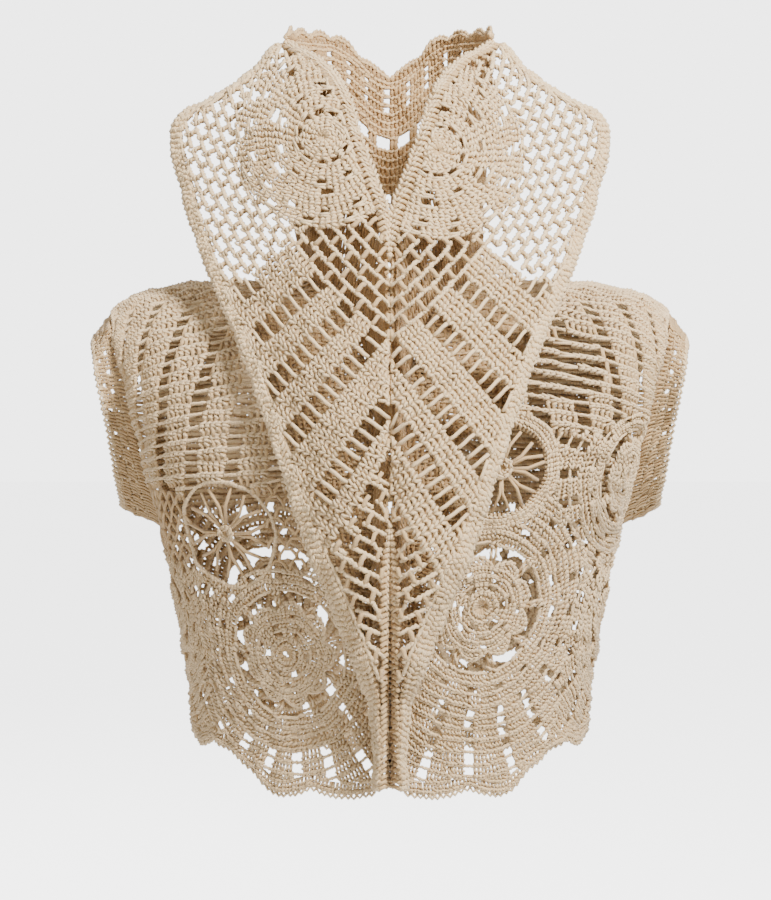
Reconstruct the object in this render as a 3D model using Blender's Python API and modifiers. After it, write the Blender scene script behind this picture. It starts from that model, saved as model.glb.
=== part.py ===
"""Crocheted cotton top with a standing shawl collar, worn and hollow: walls only, no body inside.

Metres, +Z up. The wearer faces -Y, so the wearer's left is +X. The origin is the nape: the inner
face of the collar where it is sewn to the back, at the centre.
"""

from math import acos, asin, cos, degrees, pi, radians, sin, sqrt

import bmesh
import bpy
from mathutils import Vector

# Driving dimensions of the garment.
WALL = 0.002  # thickness of the crocheted cloth
GAP = 0.0003  # left open at each seam
UNDERARM_Z = -0.190  # level of the underarm, below the nape
BORDER_Z = -0.332  # where the hem border is joined to the medallion panels
HEM_SIDE_Z = -0.352  # hem at the side
HEM_FRONT_Z = -0.385  # hem at the centre front
HEM_BACK_Z = -0.378  # hem at the centre back
BUST_HALF_WIDTH, HEM_HALF_WIDTH = 0.179, 0.153
BUST_FRONT, HEM_FRONT = 0.124, 0.100  # depth in front of the side seams
BUST_BACK, HEM_BACK = 0.100, 0.088  # depth behind the side seams
NECK_HALF_WIDTH, NECK_BACK = 0.072, 0.055
FRONT_EDGE = 0.012  # half the distance between the two fronts' straight edges
CAP_REACH = 0.037  # how far the shoulder goes out past the underarm
CAP_DROP = 0.038  # how far the shoulder line falls at the sleeve's rim
ARMHOLE_HALF_DEPTH = 0.068
RIM_HALF_WIDTH, RIM_REACH = 0.209, 0.021  # the cap sleeve's rim, at its lowest and its highest
RIM_RISE = 0.012  # how far the sleeve's underside rises to the rim
RIM_HALF_DEPTH = 0.072
STAND_HALF_WIDTH, STAND_DEPTH = 0.0795, 0.080  # plan of the collar's upper edge
BAND_SEAT = 0.0024  # from the middle of a front or lapel to the band's edge
STAND_NOTCH_Z, STAND_LOBE_RISE, LOBE_REACH = 0.163, 0.030, 0.050
SCALLOPS = 9  # hem scallops on each half of the garment
SCALLOP_DEPTH = 0.007
SHOULDER_TRIM = 0.0005  # left open at the shoulder seam, on each side of it
SIDE_TRIM = 0.1  # degrees left open between the front and back hem at the side
LAPEL_BULGE = 0.012  # how far a lapel's middle stands in front of its chord
LAPEL_RIPPLE = 0.004  # gathers along the lower free edge

# Exponents of the rounded sections: 1 is an ellipse's sine, less is squarer.
ROUND = 2.3
ARC = 2 / ROUND
ARCH = 0.83

BODY_Y = WALL / 2 - NECK_BACK  # plane of the side seams
UPRIGHT = Vector((0, 0, 1))
COTTON = {
    "body_cotton": (0.60, 0.49, 0.35, 1),
    "collar_cotton": (0.63, 0.52, 0.38, 1),
    "edging_cotton": (0.57, 0.46, 0.32, 1),
}
COTTON_ROUGHNESS = 0.92

# Sections across a lapel and its band, from the top corner down to the hem. roll is where the
# lapel turns over, edge is its free edge, and seam is the place along the front where the band
# starts: degrees up the front's arch, or a height below the underarm.
LAPEL_SECTIONS = (
    {"roll": (0.0795, -0.068, 0.189), "edge": (0.091, -0.066, 0.187), "seam": 89},
    {"roll": (0.0500, -0.097, 0.170), "edge": (0.124, -0.078, 0.153), "seam": 81},
    {"roll": (0.0350, -0.126, 0.148), "edge": (0.168, -0.086, 0.124), "seam": 72},
    {"roll": (0.0250, -0.148, 0.117), "edge": (0.160, -0.104, 0.072), "seam": 62},
    {"roll": (0.0130, -0.163, 0.083), "edge": (0.143, -0.130, 0.022), "seam": 50},
    {"roll": (0.0020, -0.174, 0.050), "edge": (0.125, -0.152, -0.018), "seam": 38},
    {"roll": (0.0015, -0.186, 0.000), "edge": (0.107, -0.172, -0.060), "seam": 25},
    {"roll": (0.0015, -0.198, -0.080), "edge": (0.083, -0.188, -0.130), "seam": 10},
    {"roll": (0.0015, -0.203, -0.160), "edge": (0.062, -0.194, -0.197), "seam": -0.195},
    {"roll": (0.0015, -0.198, -0.240), "edge": (0.036, -0.190, -0.260), "seam": -0.262},
    {"roll": (0.0020, -0.182, -0.310), "edge": (0.014, -0.180, -0.320), "seam": -0.320},
    {"roll": (0.0030, -0.169, -0.380), "edge": (0.0115, -0.171, -0.382), "seam": -0.376},
)

# The six medallion panels: degrees round from the centre front, on each side of the garment, and
# the seam gaps left above, where the side panels clear the flare of the armhole.
MEDALLION_PANELS = (
    {"name": "medallion_front", "start": 0, "end": 64, "gaps_above": 2},
    {"name": "medallion_side", "start": 64, "end": 116, "gaps_above": 3.5},
    {"name": "medallion_back", "start": 116, "end": 180, "gaps_above": 2},
)

SIDES = {"left": 1, "right": -1}


def mix(start, end, share):
    return start + (end - start) * share


def smooth(share):
    share = max(0.0, min(1.0, share))
    return share * share * (3 - 2 * share)


def power(value, exponent):
    return max(value, 0.0) ** exponent


# The collection that holds the garment, and one way to make every wall.


def garment_collection():
    collection = bpy.data.collections.new("crochet_top")
    bpy.context.scene.collection.children.link(collection)
    return collection


def cotton(name):
    material = bpy.data.materials.new(name)
    material.use_nodes = True
    shader = material.node_tree.nodes["Principled BSDF"]
    shader.inputs["Base Color"].default_value = COTTON[name]
    shader.inputs["Roughness"].default_value = COTTON_ROUGHNESS
    shader.inputs["Metallic"].default_value = 0
    return material


def cloth(name, point, columns, rows, material, closed=False):
    """A wall over the surface point(s, t), with s and t from 0 to 1; closed joins s=0 to s=1."""
    mesh = bpy.data.meshes.new(name)
    shape = bmesh.new()
    bmesh.ops.create_grid(shape, x_segments=columns, y_segments=rows, size=1)
    for vertex in shape.verts:
        vertex.co = point((vertex.co.x + 1) / 2, (vertex.co.y + 1) / 2)
    if closed:
        bmesh.ops.remove_doubles(shape, verts=shape.verts, dist=1e-6)
    bmesh.ops.recalc_face_normals(shape, faces=shape.faces)
    shape.to_mesh(mesh)
    shape.free()
    mesh.materials.append(material)
    mesh.shade_smooth()
    piece = bpy.data.objects.new(name, mesh)
    garment.objects.link(piece)
    wall = piece.modifiers.new("wall", "SOLIDIFY")
    wall.thickness = WALL
    wall.offset = 0
    wall.use_even_offset = True
    return piece


# Below the underarm: rings round the body, by degrees from the centre front.


def tapered(bust_size, hem_size, height):
    drop = (UNDERARM_Z - height) / (UNDERARM_Z - HEM_FRONT_Z)
    return mix(bust_size, hem_size, sin(min(drop, 1) * pi / 2))


def body_point(turn, height):
    angle = radians(turn)
    x = tapered(BUST_HALF_WIDTH, HEM_HALF_WIDTH, height) * power(sin(angle), ARC)
    if turn < 90:
        depth = -tapered(BUST_FRONT, HEM_FRONT, height)
    else:
        depth = tapered(BUST_BACK, HEM_BACK, height)
    y = BODY_Y + depth * power(abs(cos(angle)), ARC)
    return Vector((x, y, height))


def turn_at(x, height):
    """Degrees round from the centre to a place x across, at this height."""
    half_width = tapered(BUST_HALF_WIDTH, HEM_HALF_WIDTH, height)
    return degrees(asin((x / half_width) ** (1 / ARC)))


def hem_height(turn):
    facing = abs(cos(radians(turn)))
    level = HEM_FRONT_Z if turn < 90 else HEM_BACK_Z
    dip = mix(HEM_SIDE_Z, level, smooth((facing - 0.60) / 0.27))
    scallop = abs(sin(radians(turn) * SCALLOPS))
    return dip + SCALLOP_DEPTH * (0.5 - power(scallop, 0.7))


# Above the underarm: arches from the bust over the shoulder, by degrees up the arch.


def cap_edge(lift):
    return BUST_HALF_WIDTH + CAP_REACH * power(sin(radians(lift)), 0.8)


def nape_lift():
    """Degrees up the back's arch at which it reaches the nape."""
    return degrees(acos((NECK_BACK / BUST_BACK) ** (1 / ARCH)))


def shoulder_height(x):
    rise = UNDERARM_Z - UNDERARM_Z / power(sin(radians(nape_lift())), ARCH)
    slope = 1 - smooth(abs(x) / 0.11)
    fall = (abs(x) / (RIM_HALF_WIDTH + RIM_REACH)) ** 9
    return rise * slope - CAP_DROP * fall


def arch_height(x, lift):
    rise = power(sin(radians(lift)), ARCH)
    return UNDERARM_Z + (shoulder_height(x) - UNDERARM_Z) * rise


def armhole_depth(lift):
    return ARMHOLE_HALF_DEPTH * power(sin(radians(2 * lift)), 0.55)


def arch_point(x, lift, bust_depth):
    """bust_depth is positive on the back, negative on the front."""
    across = min(abs(x) / cap_edge(lift), 1)
    bow = power(1 - across**ROUND, 1 / ROUND)
    middle = abs(bust_depth) * power(cos(radians(lift)), ARCH)
    depth = SHOULDER_TRIM + mix(armhole_depth(lift), middle, bow)
    y = BODY_Y + (depth if bust_depth > 0 else -depth)
    return Vector((x, y, arch_height(x, lift)))


def neck_edge_x(lift):
    """Where a front's inner edge lies: straight up the front, then out to the shoulder."""
    return FRONT_EDGE + (NECK_HALF_WIDTH - FRONT_EDGE) * sin(radians(lift)) ** 4


def back_top(x):
    """Degrees up the arch at which the back ends: the neck seam, or the shoulder seam."""
    across = min(abs(x) / NECK_HALF_WIDTH, 1)
    neck = NECK_BACK / BUST_BACK * sqrt(1 - across * across)
    return degrees(acos(power(neck, 1 / ARCH)))


# The pieces of the body.


def make_front(name, side, material):
    def point(s, t):
        lift = 90 * t
        x = mix(neck_edge_x(lift), cap_edge(lift), s)
        place = arch_point(x, lift, -BUST_FRONT)
        return Vector((place.x * side, place.y, place.z))

    cloth(name, point, 13, 11, material)


def make_back(material):
    def point(s, t):
        across = 2 * s - 1
        lift = t * back_top(across * (BUST_HALF_WIDTH + CAP_REACH))
        return arch_point(across * cap_edge(lift), lift, BUST_BACK)

    cloth("back_yoke", point, 26, 9, material)


def make_medallion_panel(panel, side_name, side, material):
    top = UNDERARM_Z - panel["gaps_above"] * GAP
    bottom = BORDER_Z + GAP / 2
    trim = degrees(GAP / HEM_BACK)

    def point(s, t):
        height = mix(bottom, top, t)
        start = max(panel["start"] + trim, turn_at(FRONT_EDGE, height))
        end = min(panel["end"] - trim, 180 - turn_at(GAP / 2, height))
        turn = mix(start, end, s)
        place = body_point(turn, height)
        return Vector((place.x * side, place.y, place.z))

    cloth(f"{panel['name']}_{side_name}", point, 8, 7, material)


def make_hem(name, start, end, side, columns, material):
    """Degrees past the centre back, 180, go on up the other side."""
    top = BORDER_Z - GAP / 2

    def point(s, t):
        turn = mix(start, end, s)
        reach = min(turn, 360 - turn)
        place = body_point(reach, mix(hem_height(reach), top, t))
        across = side if turn <= 180 else -side
        return Vector((place.x * across, place.y, place.z))

    cloth(name, point, columns, 2, material)


def make_cap_sleeve(name, side, material):
    """A short band from the armhole seam out to the rim, closed round the arm."""
    clear = WALL / 2 + 2 * GAP

    def point(s, t):
        lift = 180 * s if s < 0.5 else 180 * (1 - s)
        rim = RIM_HALF_WIDTH + RIM_REACH * sin(radians(lift))
        x = mix(cap_edge(lift) + clear, rim, t)
        depth = armhole_depth(lift) * mix(1, RIM_HALF_DEPTH / ARMHOLE_HALF_DEPTH, t)
        y = BODY_Y + (-depth if s < 0.5 else depth)
        z = arch_height(x, lift) + RIM_RISE * t * cos(radians(lift)) ** 4
        return Vector((x * side, y, z))

    cloth(name, point, 36, 3, material, closed=True)


# The collar: a stand round the back of the neck, a band up each front, and two lapels.


def stand_top(x):
    return STAND_NOTCH_Z + STAND_LOBE_RISE * smooth(abs(x) / LOBE_REACH)


def make_stand(material):
    seat = WALL / 2 + 2 * GAP

    def point(s, t):
        around = pi * (s - 0.5) * 0.995
        x = NECK_HALF_WIDTH * sin(around)
        low = arch_point(x, back_top(x), BUST_BACK) + seat * UPRIGHT
        high_x = STAND_HALF_WIDTH * sin(around)
        high_y = LAPEL_SECTIONS[0]["roll"][1] + GAP + STAND_DEPTH * cos(around)
        high = Vector((high_x, high_y, stand_top(high_x)))
        return low.lerp(high, t)

    cloth("collar_stand", point, 26, 7, material)


def seam_point(place):
    """A point clear of a front's inner edge, from a section's seam column."""
    if place >= 0:
        outward = Vector((0, -cos(radians(place)), sin(radians(place))))
        return arch_point(neck_edge_x(place), place, -BUST_FRONT) + BAND_SEAT * outward
    return body_point(turn_at(FRONT_EDGE, place), place) - Vector((0, BAND_SEAT, 0))


def section_value(column, share):
    """A column of LAPEL_SECTIONS as a smooth curve, share running from 0 at the top to 1."""
    last = len(LAPEL_SECTIONS) - 1
    place = share * last
    index = min(int(place), last - 1)
    u = place - index

    def row(number):
        section = LAPEL_SECTIONS[max(0, min(last, number))]
        return seam_point(section["seam"]) if column == "seam" else Vector(section[column])

    before, start, end, after = (row(index + step) for step in (-1, 0, 1, 2))
    linear = (end - before) * u
    square = (2 * before - 5 * start + 4 * end - after) * u * u
    cube = (3 * start - 3 * end + after - before) * u * u * u
    return start + (linear + square + cube) / 2


def make_band(name, side, material):
    """The inner layer, from a front's edge out to the line where the lapel turns over."""

    def point(s, t):
        share = mix(0.012, 1, s)
        seam = section_value("seam", share)
        roll = section_value("roll", share)
        fold = (roll - section_value("roll", share - 0.01)).normalized()
        away = seam - roll
        away -= away.dot(fold) * fold
        place = seam.lerp(roll + BAND_SEAT * away.normalized(), t)
        return Vector((place.x * side, place.y, place.z))

    cloth(name, point, 24, 3, material)


def make_lapel(name, side, material):
    """The outer layer, turned over at the roll and lying in front of the chest."""

    def point(s, t):
        roll = section_value("roll", s)
        edge = section_value("edge", s)
        place = roll.lerp(edge, t)
        lower = smooth((s - 0.55) / 0.3) * (1 - smooth((s - 0.9) / 0.1))
        place.y -= LAPEL_BULGE * sin(pi * t**0.7) * smooth(s / 0.15)
        place.y += LAPEL_RIPPLE * t * lower * sin(2 * pi * 9 * s)
        return Vector((place.x * side, place.y, place.z))

    cloth(name, point, 30, 7, material)


for old in list(bpy.data.objects):
    bpy.data.objects.remove(old, do_unlink=True)

garment = garment_collection()
body_cotton = cotton("body_cotton")
collar_cotton = cotton("collar_cotton")
edging_cotton = cotton("edging_cotton")

make_back(body_cotton)
make_stand(collar_cotton)
make_hem("hem_back", 90 + SIDE_TRIM, 270 - SIDE_TRIM, 1, 30, edging_cotton)
for side_name, side in SIDES.items():
    make_front(f"front_{side_name}", side, body_cotton)
    for panel in MEDALLION_PANELS:
        make_medallion_panel(panel, side_name, side, body_cotton)
    hem_name = f"hem_front_{side_name}"
    make_hem(hem_name, turn_at(FRONT_EDGE, HEM_FRONT_Z), 90 - SIDE_TRIM, side, 15, edging_cotton)
    make_cap_sleeve(f"cap_sleeve_{side_name}", side, edging_cotton)
    make_band(f"front_band_{side_name}", side, collar_cotton)
    make_lapel(f"lapel_{side_name}", side, collar_cotton)
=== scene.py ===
"""Crocheted cotton top with a standing shawl collar, worked stitch by stitch around the frame.

Metres, +Z up. The wearer faces -Y, so the wearer's left is +X, and the origin is the nape.
"""

from math import cos, pi, radians, sin

import bmesh
import bpy
import numpy as np
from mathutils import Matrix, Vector


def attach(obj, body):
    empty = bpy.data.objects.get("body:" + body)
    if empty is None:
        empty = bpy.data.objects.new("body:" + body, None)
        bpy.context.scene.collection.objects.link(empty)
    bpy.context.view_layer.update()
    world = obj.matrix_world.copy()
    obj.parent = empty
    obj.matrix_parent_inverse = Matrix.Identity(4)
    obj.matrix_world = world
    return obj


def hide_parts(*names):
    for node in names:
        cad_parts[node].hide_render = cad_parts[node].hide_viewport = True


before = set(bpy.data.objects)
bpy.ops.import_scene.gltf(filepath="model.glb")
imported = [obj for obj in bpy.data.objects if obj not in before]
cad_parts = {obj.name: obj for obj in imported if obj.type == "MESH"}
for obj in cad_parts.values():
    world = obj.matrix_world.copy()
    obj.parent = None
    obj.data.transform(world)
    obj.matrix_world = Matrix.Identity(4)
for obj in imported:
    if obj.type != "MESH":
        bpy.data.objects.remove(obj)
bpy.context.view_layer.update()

# Body motifs. The fronts, the back and the six panels under them are one lace of round motifs,
# crocheted apart in 2 mm cotton and joined by ladder courses and diamond net. Each stitch is laid
# as strands of yarn on the garment's own form, and the strands are shared out among the pieces.

MILLIMETRE = 0.001
SWELL = 0.0015  # how far the cloth waves out and in
YARN_RADIUS = 0.0011
SIDES = {"left": 1, "right": -1}

UNDERARM_Z, BORDER_Z = -0.190, -0.332
HEM_FRONT_Z = -0.385
BUST_HALF_WIDTH, HEM_HALF_WIDTH = 0.179, 0.153
BUST_FRONT, HEM_FRONT = 0.124, 0.100
BUST_BACK, HEM_BACK = 0.100, 0.088
NECK_HALF_WIDTH, NECK_BACK = 0.072, 0.055
FRONT_EDGE = 0.012
CAP_REACH, CAP_DROP = 0.037, 0.038
CAP_CURVE, CAP_FALL, ARMHOLE_CURVE, NECK_CURVE = 0.8, 9, 0.55, 4  # powers: how full each curve is
ARMHOLE_HALF_DEPTH = 0.068
RIM_HALF_WIDTH, RIM_REACH = 0.209, 0.021
SHOULDER_SLOPE_ENDS = 0.11
SHOULDER_TRIM = 0.0005
SIDE_SEAM_Y = 0.001 - NECK_BACK  # the neck seam passes a millimetre behind the nape
ROUND = 2.3  # the body's rounded section: 2 is an ellipse, more is squarer
ARC = 2 / ROUND
ARCH = 0.83
RISE_X = 0.10  # how far from the centre the rise of the fronts is measured
SHOULDER_SPREAD = 1.2  # the shoulders' width to the bust's, along the top of the back

chance = np.random.default_rng(7)


def mix(start, end, share):
    return start + (end - start) * share


def smooth(share):
    share = np.clip(share, 0, 1)
    return share * share * (3 - 2 * share)


def power(value, exponent):
    return np.maximum(value, 0) ** exponent


def tapered(bust_size, hem_size, height):
    drop = (UNDERARM_Z - height) / (UNDERARM_Z - HEM_FRONT_Z)
    return mix(bust_size, hem_size, np.sin(np.clip(drop, 0, 1) * pi / 2))


def cap_edge(lift):
    return BUST_HALF_WIDTH + CAP_REACH * power(np.sin(lift), CAP_CURVE)


def shoulder_height(x):
    nape_lift = np.arccos((NECK_BACK / BUST_BACK) ** (1 / ARCH))
    neck_z = UNDERARM_Z - UNDERARM_Z / np.sin(nape_lift) ** ARCH
    fall = (np.abs(x) / (RIM_HALF_WIDTH + RIM_REACH)) ** CAP_FALL
    return neck_z * (1 - smooth(np.abs(x) / SHOULDER_SLOPE_ENDS)) - CAP_DROP * fall


def arch_height(x, lift):
    return UNDERARM_Z + (shoulder_height(x) - UNDERARM_Z) * power(np.sin(lift), ARCH)


def armhole_depth(lift):
    return ARMHOLE_HALF_DEPTH * power(np.sin(2 * lift), ARMHOLE_CURVE)


def neck_edge_x(lift):
    return FRONT_EDGE + (NECK_HALF_WIDTH - FRONT_EDGE) * np.sin(lift) ** NECK_CURVE


def run_along(*coordinates):
    """How far along a line of points each one lies."""
    steps = np.sqrt(sum(np.diff(values) ** 2 for values in coordinates))
    return np.concatenate([[0], np.cumsum(steps)])


# The cloth of the body is laid out flat: across is the way round from the centre front along the
# bust line, and height is the way up the cloth from the underarm, below it negative.
turns = np.radians(np.linspace(0, 180, 721))
girth = run_along(
    BUST_HALF_WIDTH * power(np.sin(turns), ARC),
    np.where(turns < pi / 2, -BUST_FRONT, BUST_BACK) * np.abs(np.cos(turns)) ** ARC,
)
lifts = np.radians(np.linspace(0, 90, 361))
rise = run_along(arch_height(RISE_X, lifts), BUST_FRONT * np.cos(lifts) ** ARCH)
side_seam = np.interp(pi / 2, turns, girth)
centre_back = girth[-1]
shoulder = rise[-1]
border = BORDER_Z - UNDERARM_Z


def body(across, height):
    """Places on the left half of the garment's form; the right half is its mirror."""
    turn = np.interp(across, girth, turns)
    out, facing = power(np.sin(turn), ARC), np.abs(np.cos(turn)) ** ARC
    is_front = turn < pi / 2
    sign = np.where(is_front, -1, 1)
    low_z = UNDERARM_Z + np.minimum(height, 0)
    front, back = tapered(BUST_FRONT, HEM_FRONT, low_z), tapered(BUST_BACK, HEM_BACK, low_z)
    low_x = tapered(BUST_HALF_WIDTH, HEM_HALF_WIDTH, low_z) * out
    low_y = SIDE_SEAM_Y + sign * np.where(is_front, front, back) * facing
    lift = np.interp(height, rise, lifts)
    high_x = cap_edge(lift) * out
    middle = np.where(is_front, BUST_FRONT, BUST_BACK) * np.cos(lift) ** ARCH
    high_y = SIDE_SEAM_Y + sign * (SHOULDER_TRIM + mix(armhole_depth(lift), middle, facing))
    high_z = arch_height(high_x, lift)
    low = np.stack([low_x, low_y, low_z], -1)
    high = np.stack([high_x, high_y, high_z], -1)
    return np.where((height < 0)[..., None], low, high)


def across_of(x, height):
    """How far round the front a place x from the centre lies."""
    lift = np.interp(height, rise, lifts)
    low_half = tapered(BUST_HALF_WIDTH, HEM_HALF_WIDTH, UNDERARM_Z + height)
    half = np.where(height < 0, low_half, cap_edge(lift))
    return np.interp(np.arcsin(np.clip(x / half, 0, 1) ** (1 / ARC)), turns, girth)


def back_top(across):
    """Where the back ends above: at the neck seam, or at the shoulder seam."""
    x = BUST_HALF_WIDTH * power(np.sin(np.interp(across, girth, turns)), ARC) * SHOULDER_SPREAD
    neck = NECK_BACK / BUST_BACK * np.sqrt(1 - np.clip(x / NECK_HALF_WIDTH, 0, 1) ** 2)
    return np.interp(np.arccos(power(neck, 1 / ARCH)), lifts, rise)


# Stitches are drawn in a cell of the cloth. A strand is its thickness and its points: across the
# stitch, up the course, millimetres out of the cloth. Posts and nets are the cloth's ground; the
# chains along a course and the wraps round the posts stand up from it.
POST = ((1.15, ((0.30, 0.00, 0.0), (0.40, 0.50, 0.9), (0.70, 1.00, 0.1))),)
WRAP = ((0.85, ((0.05, 0.36, 1.5), (0.95, 0.60, 2.1))),)
CHAIN = (
    (1.1, ((-0.10, 0.82, 0.7), (1.00, 0.98, 2.8))),
    (1.1, ((-0.10, 1.18, 0.6), (1.00, 1.02, 2.3))),
)
FULL_POST = ((1.75, ((0.38, -0.02, 0.1), (0.34, 0.46, 1.0), (0.60, 1.02, 0.2))),)
FULL_WRAP = ((1.0, ((0.02, 0.34, 0.1), (0.46, 0.50, 2.8), (0.98, 0.68, 0.2))),)
FULL_CHAIN = (
    (1.2, ((-0.06, 0.74, 0.1), (0.42, 0.80, 2.6), (1.04, 1.02, 0.3))),
    (1.2, ((-0.04, 1.26, 0.0), (0.42, 1.20, 2.2), (1.02, 0.98, 0.1))),
)
LIGHT_POST = ((1.25, ((0.42, 0.00, 0.4), (0.58, 1.00, 0.4))),)
LIGHT_CHAIN = ((1.1, ((-0.05, 0.90, 1.1), (1.05, 1.06, 1.6))),)
BAR = ((1.5, ((0.00, 1.00, 0.6), (0.30, 0.97, 1.2), (0.70, 1.03, 1.2), (1.00, 1.00, 0.6))),)
WINDOW_POST = ((1.7, ((0.12, 0.00, 0.1), (0.10, 0.50, 0.8), (0.18, 1.00, 0.2))),)


def twisted(thickness, low, high, out):
    """Two strands wound round each other along the top of a window."""
    across = (0.00, 0.26, 0.52, 0.76, 1.00)
    over = zip(across, (low, high, low, high, low), (0.4, out, 0.3, out, 0.4))
    under = zip(across, (high, low, high, low, high), (out - 0.1, 0.3, out - 0.1, 0.3, out - 0.1))
    return (thickness, tuple(over)), (thickness, tuple(under))


BRIDGE, SLIM_BRIDGE = twisted(1.25, 0.93, 1.08, 1.5), twisted(0.95, 0.96, 1.05, 1.4)
WIDE_POST = ((1.55, ((0.24, -0.02, 0.0), (0.36, 0.46, 1.0), (0.72, 0.98, 0.2))),)
WIDE_WRAP = ((0.9, ((0.06, 0.42, 1.3), (0.92, 0.70, 2.2))),)
NET_ARCH = (
    (1.3, ((0.00, -0.04, 0.3), (0.08, 0.50, 0.9), (0.30, 0.97, 0.7), (0.70, 0.97, 0.5),
           (0.92, 0.50, 0.9), (1.00, -0.04, 0.3))),
)
PETAL = (
    (1.3, ((0.44, -0.04, 0.4), (0.40, 0.50, 0.9), (0.20, 1.00, 0.3))),
    (1.3, ((0.56, -0.04, 0.1), (0.60, 0.50, 0.7), (0.80, 1.00, 0.5))),
)
FINE_POST = ((1.75, ((0.42, 0.00, 0.1), (0.40, 0.50, 0.8), (0.60, 1.00, 0.2))),)
FINE_CHAIN = ((1.4, ((-0.05, 0.96, 0.4), (0.45, 0.84, 1.9), (1.05, 1.06, 0.4))),)
BACKING = (
    (1.8, ((-0.10, 0.28, -0.7), (1.10, 0.28, -0.7))),
    (1.8, ((-0.10, 0.70, -0.7), (1.10, 0.70, -0.7))),
)
ONE_BACKING = ((2.4, ((-0.10, 0.46, -0.9), (1.10, 0.46, -0.9))),)
BROAD_POSTS = tuple(
    (1.3, ((across - 0.03, 0.00, 0.4), (across + 0.03, 1.00, 0.4))) for across in (0.17, 0.50, 0.83)
)
BROAD_CHAIN = ((1.2, ((-0.03, 0.90, 1.0), (0.32, 1.04, 1.8), (0.66, 0.92, 1.3), (1.03, 1.06, 1.6))),)
NET_POST = ((1.8, ((0.56, -0.04, 0.4), (0.42, 0.34, 1.0), (0.58, 0.70, 1.0), (0.46, 1.04, 0.5))),)
PICOT = (
    (1.2, ((0.22, 0.0, 0.2), (0.05, 0.62, 0.6), (0.50, 1.08, 0.8), (0.95, 0.62, 0.4),
           (0.78, 0.0, 0.0))),
)
STITCH_DRIFT = (0.05, 0.04, 0.22)  # how unlike stitches are: across, up, millimetres out
STRAND_DRIFT = (0.025, 0.025, 0.10)  # and the strands of one stitch
# The ground's strands and the relief's for each letter of a pattern. f, y, x and l are the same
# stitch with more or fewer bends, for the lapels, the ladders, the body and the inner layers. k, c,
# h and b are closed ones, for the stand, for what lies under the lapels and for the back, where b
# is three stitches wide. The rest are windows, nets, petals and picots.
STITCHES = {
    "f": (FULL_POST, FULL_WRAP + FULL_CHAIN),
    "x": (POST, WRAP + CHAIN),
    "y": (WIDE_POST, WIDE_WRAP + CHAIN),
    "l": (LIGHT_POST, LIGHT_CHAIN),
    "k": (FINE_POST, BACKING + FINE_CHAIN),
    "c": (LIGHT_POST, BACKING + LIGHT_CHAIN),
    "h": (LIGHT_POST, ONE_BACKING + LIGHT_CHAIN),
    "b": (BROAD_POSTS, BACKING + BROAD_CHAIN),
    ".": ((), CHAIN),
    "o": ((), SLIM_BRIDGE),
    "_": ((), SLIM_BRIDGE),
    "w": ((), BRIDGE),
    "q": (WINDOW_POST, SLIM_BRIDGE),
    "-": ((), BAR),
    "m": (NET_ARCH, ()),
    "t": (NET_POST, BRIDGE),
    "s": (PETAL, ()),
    "p": ((), PICOT),
}
WIDTHS = dict.fromkeys("fxlkcht-sp", 1)
WIDTHS |= {"y": 1.45, ".": 1.6, "o": 2.5, "w": 2.5, "b": 3, "_": 3.9, "q": 3.9, "m": 4.3}


def pattern_width(letters):
    return sum(WIDTHS[letter] for letter in letters)


def pattern_edges(letters):
    """Where the cells of a course begin and end, from 0 to 1."""
    edges = np.concatenate([[0], np.cumsum([WIDTHS[letter] for letter in letters])])
    return edges / edges[-1]


def strip(low, high):
    """The cells between two lines of points in the flat cloth, one cell for each step."""
    return np.stack([low[:-1], low[1:], high[1:], high[:-1]], 1)


def ring(centre, inner, outer, letters, turned=0.0):
    """A round of stitches. inner and outer are radii, or functions of the angle."""
    angles = 2 * pi * (pattern_edges(letters) + turned)
    way = np.stack([np.cos(angles), np.sin(angles)], -1)
    low, high = (
        centre + way * (radius(angles)[:, None] if callable(radius) else radius)
        for radius in (inner, outer)
    )
    return strip(low, high)


def quad_area(cells):
    one, two = cells[..., 2, :] - cells[..., 0, :], cells[..., 3, :] - cells[..., 1, :]
    return np.abs(one[..., 0] * two[..., 1] - one[..., 1] * two[..., 0]) / 2


def trimmed(cells, fit, least=0.45):
    """Pulls the cells that cross an edge back to it, and drops those that lie past it."""
    fitted = fit(cells)
    kept = quad_area(fitted) > least * quad_area(cells)
    return fitted, kept


def unevenness(places):
    """Soft swells of the cloth, out and in, from crossed waves over its places in millimetres."""
    x, y, z = (places[..., axis] / MILLIMETRE for axis in range(3))
    wide = np.sin(x / 11 + z / 17 + 0.6) * np.sin(z / 13 - x / 23 + y / 19)
    close = np.sin(x / 5.3 - z / 7.1) * np.sin(z / 6.1 + x / 8.3 + y / 7)
    return SWELL * (wide + 0.7 * close)


def laid(surface, cells, side=1):
    """Places and outward normals of the cells' corners on a surface of the garment."""
    step = 0.0006  # how far to each side the slope is measured
    u, v = cells[..., 0], cells[..., 1]
    places = surface(u, v)
    along = surface(u + step, v) - surface(u - step, v)
    up = surface(u, v + step) - surface(u, v - step)
    normals = np.cross(along, up)
    normals /= np.maximum(np.linalg.norm(normals, axis=-1, keepdims=True), 1e-12)
    places = places + normals * unevenness(places)[..., None]
    mirrored = np.array([side, 1, 1])
    return places * mirrored, normals * mirrored


def strands(places, normals, stitch):
    """The strands of one stitch in every cell, with a hand's unevenness, and their thickness."""
    made = []
    count = len(places)
    shift = chance.normal(0, STITCH_DRIFT, (count, 1, 3))
    for thickness, strand in stitch:
        drift = shift + chance.normal(0, STRAND_DRIFT, (count, 1, 3))
        points = np.array(strand)[None] + drift
        a, b, out = points[..., 0], points[..., 1], points[..., 2] * MILLIMETRE
        weights = np.stack([(1 - a) * (1 - b), a * (1 - b), a * b, (1 - a) * b], -1)
        line = np.einsum("npc,ncd->npd", weights, places)
        outward = np.einsum("npc,ncd->npd", weights, normals)
        made.append((thickness, line + outward * out[..., None]))
    return made


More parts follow.
